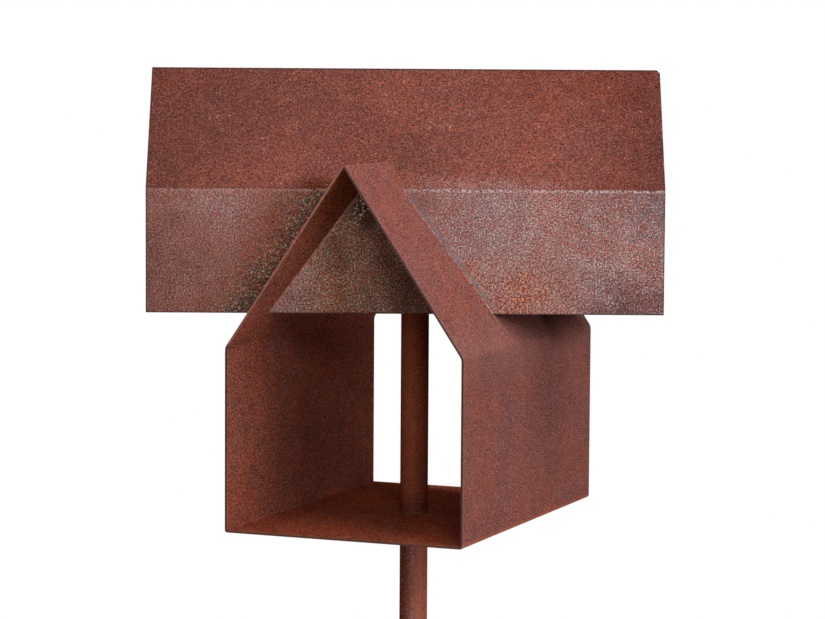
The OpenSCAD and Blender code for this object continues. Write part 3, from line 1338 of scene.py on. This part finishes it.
@dataclass
class HoodSeams:
    """Weld beads where the house's slopes stand out of the roof's skirts."""

    outer_radius: float = 0.55 * MM
    inner_radius: float = 0.5 * MM
    ripple: float = 0.1
    ripple_pitch: float = 2.6 * MM
    step: float = 0.7 * MM
    taper: float = 2.5 * MM
    slimmest: float = 0.35
    apex_gap: float = 0.4 * MM
    arc_steps: int = 8
    steel: WeldSteel = SEAM_STEEL
    beads: BeadMaker = field(default_factory=BeadMaker)

    def build(self, effects: RustEffects) -> None:
        """Makes the beads of both hoods.

        Args:
            effects: the shared effects.
        """
        material = self.steel.material(effects)
        for end in End:
            for side in Side:
                for face in SheetFace:
                    name = f"{end.name}_{side.name}_{face.value}_bead".lower()
                    path = self.path(end, side, face)
                    radius = self.outer_radius if face is SheetFace.OUTER else self.inner_radius
                    add_piece(self.beads.sweep(name, path, self.radii(path, radius)), material)

    def path(self, end: End, side: Side, face: SheetFace) -> list[Vector]:
        """Gives the line where a face of the house's slope meets the roof's outside.

        Args:
            end: which hood.
            side: which slope.
            face: which face of the slope.
        Returns:
            Evenly spaced points from the skirt's lower edge to the hood's ridge.
        """
        ridge = SIZES.house_ridge
        if face is SheetFace.INNER:
            ridge -= SIZES.sheet / math.cos(SIZES.house_pitch)
        corners = [self.meeting(end, side, ridge, across, h) for across, h in self.roof_line(ridge)]
        return self.evenly(corners)

    def roof_line(self, top: float) -> list[tuple[float, float]]:
        """Gives the roof's outside line from a skirt's lower edge up to a height.

        Args:
            top: height over the floor's underside where the line ends.
        Returns:
            Distances across the ridge and heights over the floor's underside.
        """
        turn = math.pi / 2 - SIZES.roof_pitch
        radius = SIZES.soft_fold + SIZES.sheet
        setback = radius * math.tan(turn / 2)
        middle = (SIZES.roof_half - radius, SIZES.eave - setback)
        line = [(SIZES.roof_half, SIZES.skirt_lift)]
        for i in range(self.arc_steps + 1):
            angle = turn * i / self.arc_steps
            line.append((middle[0] + radius * math.cos(angle), middle[1] + radius * math.sin(angle)))
        rise = top - self.apex_gap - line[-1][1]
        line.append((line[-1][0] - rise / math.tan(SIZES.roof_pitch), line[-1][1] + rise))
        return line

    @staticmethod
    def meeting(end: End, side: Side, ridge: float, across: float, height: float) -> Vector:
        """Gives the point of a slope's face on a line of the roof.

        Args:
            end: which hood.
            side: which slope.
            ridge: height of the face's sharp ridge over the floor's underside.
            across: distance of the roof's line from its ridge.
            height: height of that line over the floor's underside.
        Returns:
            The point in the row's frame.
        """
        x = side.value * (ridge - height) / math.tan(SIZES.house_pitch)
        y = (math.sin(SIZES.roof_turn) * x + end.value * across) / math.cos(SIZES.roof_turn)
        return Vector((x, y, SIZES.floor + height))

    def evenly(self, corners: list[Vector]) -> list[Vector]:
        """Spaces points evenly along a line of corners.

        Args:
            corners: the line's corners.
        Returns:
            The points.
        """
        points = [corners[0]]
        for start, stop in zip(corners, corners[1:]):
            pieces = max(1, round((stop - start).length / self.step))
            points += [start.lerp(stop, (i + 1) / pieces) for i in range(pieces)]
        return points

    def radii(self, path: list[Vector], radius: float) -> list[float]:
        """Gives a bead's radius at each point, rippled and drawn in at both ends.

        Args:
            path: the bead's points.
            radius: its full radius.
        Returns:
            The radii.
        """
        gone = [0.0]
        for start, stop in zip(path, path[1:]):
            gone.append(gone[-1] + (stop - start).length)
        result = []
        for here in gone:
            wave = 1.0 + self.ripple * math.sin(2 * math.pi * here / self.ripple_pitch)
            ease = min(1.0, min(here, gone[-1] - here) / self.taper)
            result.append(radius * wave * (self.slimmest + (1.0 - self.slimmest) * math.sqrt(ease)))
        return result


@dataclass
class PostTube:
    """The tube post and the weld collars that hold the floor on it."""

    node: str = "post"
    collar_radius: float = 0.7 * MM
    collar_sides: int = 10
    collar_steps: int = 64
    seam_merge: float = 0.01 * MM
    rust: PostRust = PostRust()
    steel: WeldSteel = COLLAR_STEEL

    def build(self, effects: RustEffects) -> None:
        """Dresses the post and makes its collars over and under the floor.

        Args:
            effects: the shared effects.
        """
        dress(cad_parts[self.node], self.rust.material(effects))
        LOG.info("dressed %s", self.node)
        material = self.steel.material(effects)
        heights = {"post_upper_collar": SIZES.floor + SIZES.sheet, "post_lower_collar": SIZES.floor}
        for name, height in heights.items():
            add_piece(self.collar(name, height), material)

    def collar(self, name: str, height: float) -> bpy.types.Object:
        """Makes a ring of weld round the post.

        Args:
            name: the piece's name.
            height: height of the ring's middle over the ground.
        Returns:
            The new object.
        """
        bm = bmesh.new()
        upright = Matrix.Translation((SIZES.post_r, 0.0, height)) @ Matrix.Rotation(math.pi / 2, 4, "X")
        bmesh.ops.create_circle(bm, segments=self.collar_sides, radius=self.collar_radius, matrix=upright)
        bmesh.ops.spin(
            bm,
            geom=list(bm.verts) + list(bm.edges),
            cent=(0.0, 0.0, height),
            axis=UP,
            angle=2 * math.pi,
            steps=self.collar_steps,
            use_merge=True,
        )
        bmesh.ops.remove_doubles(bm, verts=bm.verts, dist=self.seam_merge)
        return BeadMaker.finish(bm, name)


@dataclass(frozen=True)
class SoftLamp:
    """One broad studio lamp, placed by its direction from the feeder."""

    name: str
    azimuth: float
    elevation: float
    power: float
    distance: float = 2.2
    size: float = 0.6

    def hang(self, target: Vector) -> None:
        """Hangs the lamp so that it looks at a point.

        Args:
            target: the point.
        """
        data = bpy.data.lights.new(self.name, "AREA")
        data.shape, data.size, data.energy = "DISK", self.size, self.power
        flat, lift = math.radians(self.azimuth), math.radians(self.elevation)
        out = Vector((math.cos(flat) * math.cos(lift), math.sin(flat) * math.cos(lift), math.sin(lift)))
        lamp = bpy.data.objects.new(self.name, data)
        lamp.location = target + out * self.distance
        lamp.rotation_euler = out.to_track_quat("Z", "Y").to_euler()
        lamp.visible_camera = False
        bpy.context.scene.collection.objects.link(lamp)
        LOG.info("lamp %s", self.name)


@dataclass
class Studio:
    """Camera, plain pale floor, soft light and white background."""

    camera_spot: Axis = (0.8376, -2.0575, 1.34697)
    camera_heading: float = math.radians(22.2)
    camera_pitch: float = math.radians(5.128)
    camera_roll: float = math.radians(0.363)
    focal_pixels: float = 3121.98
    sensor_width: float = 36.0
    floor_radius: float = 4.4
    floor_sides: int = 96
    floor_tint: Tint = Tint(226, 224, 221)
    floor_mottle: Tint = Tint(210, 208, 205)
    floor_noise: Noise = Noise(30.0, 3.0)
    mottle_share: float = 0.1
    floor_roughness: float = 0.9
    floor_relief: Relief = Relief(0.1 * MM, 0.1)
    floor_fade: Step = Step(0.75, 2.1)
    sky_level: float = 0.2
    sky_tint: Tint = Tint(255, 252, 250)
    white_level: float = 1.0
    lamps: tuple[SoftLamp, ...] = (
        SoftLamp("key_lamp", azimuth=-33.0, elevation=65.0, power=30.0, size=1.6),
        SoftLamp("side_lamp", azimuth=-26.0, elevation=20.0, power=16.5, size=1.3),
        SoftLamp("front_lamp", azimuth=-63.0, elevation=20.0, power=11.5),
        SoftLamp("back_lamp", azimuth=102.0, elevation=3.0, power=12.5),
        SoftLamp("fill_lamp", azimuth=162.0, elevation=50.0, power=32.0),
    )

    def build(self) -> None:
        """Sets up the whole studio."""
        bpy.context.scene.view_settings.view_transform = "Standard"
        self.set_camera()
        self.set_sky()
        self.lay_floor()
        target = Vector((0.0, 0.0, SIZES.floor + SIZES.skirt_lift))
        for lamp in self.lamps:
            lamp.hang(target)

    def set_camera(self) -> None:
        """Makes the camera that looks as the photograph does."""
        data = bpy.data.cameras.new("photo_camera")
        data.sensor_fit, data.sensor_width = "HORIZONTAL", self.sensor_width
        data.lens = self.focal_pixels * self.sensor_width / PICTURE_WIDTH
        camera = bpy.data.objects.new("photo_camera", data)
        turn = (
            Matrix.Rotation(self.camera_heading, 4, "Z")
            @ Matrix.Rotation(math.pi / 2 - self.camera_pitch, 4, "X")
            @ Matrix.Rotation(self.camera_roll, 4, "Z")
        )
        camera.matrix_world = Matrix.Translation(self.camera_spot) @ turn
        bpy.context.scene.collection.objects.link(camera)
        bpy.context.scene.camera = camera
        LOG.info("camera at %s", self.camera_spot)

    def set_sky(self) -> None:
        """Makes the world: white where it is seen, softer where it lights the feeder."""
        world = bpy.data.worlds.new("studio_sky")
        bpy.context.scene.world = world
        world.use_nodes = True
        world.node_tree.nodes.clear()
        graph = Graph(world.node_tree)
        soft = graph.node("ShaderNodeBackground", {"Color": self.sky_tint, "Strength": self.sky_level})
        white = graph.node("ShaderNodeBackground", {"Color": WHITE, "Strength": self.white_level})
        leave = graph.node("ShaderNodeOutputWorld")
        self.join(graph, self.seen(graph), soft.outputs[0], white.outputs[0], leave)

    @staticmethod
    def seen(graph: Graph) -> Socket:
        """Tells the rays that show the background itself, straight or in a reflection.

        Args:
            graph: the graph of the world or the floor.
        Returns:
            1 for such rays and 0 for others.
        """
        path = graph.node("ShaderNodeLightPath").outputs
        mirrored = graph.math("MAXIMUM", path["Is Glossy Ray"], path["Is Transmission Ray"])
        return graph.math("MAXIMUM", path["Is Camera Ray"], mirrored)

    @staticmethod
    def join(graph: Graph, mask: Socket, lit: Socket, white: Socket, leave: bpy.types.Node) -> None:
        """Mixes a shader that takes part in the light with plain white by a mask, for the output node."""
        mix = graph.node("ShaderNodeMixShader", {0: mask, 1: lit, 2: white})
        graph.plug(leave.inputs["Surface"], mix.outputs[0])

    def lay_floor(self) -> None:
        """Lays a round pale floor under the post, which goes over into the white background."""
        bm = bmesh.new()
        bmesh.ops.create_circle(bm, cap_ends=True, segments=self.floor_sides, radius=self.floor_radius)
        floor = BeadMaker.finish(bm, "studio_floor")
        desk = MaterialDesk("pale_floor", self.floor_roughness)
        graph = desk.graph
        grain = graph.noise(desk.place, self.floor_noise)
        tone = graph.layer(graph.times(grain, self.mottle_share), self.floor_tint, self.floor_mottle)
        dress(floor, desk.finish(tone, grain, self.floor_relief))
        white = graph.node("ShaderNodeEmission", {"Color": WHITE, "Strength": self.white_level}).outputs[0]
        away = graph.node("ShaderNodeVectorMath", {0: desk.place}, operation="LENGTH").outputs["Value"]
        shown = graph.times(graph.fade(away, self.floor_fade), self.seen(graph))
        self.join(graph, shown, desk.shader.outputs["BSDF"], white, desk.leave)
        LOG.info("floor laid")


def main() -> None:
    """Builds the studio and dresses the feeder, sub-assembly by sub-assembly."""
    logging.basicConfig(level=logging.INFO, format="%(name)s: %(message)s")
    Studio().build()
    effects = RustEffects()
    RoofSheet().build(effects)
    HouseBand().build(effects)
    HoodSeams().build(effects)
    PostTube().build(effects)


if __name__ == "__main__":
    main()
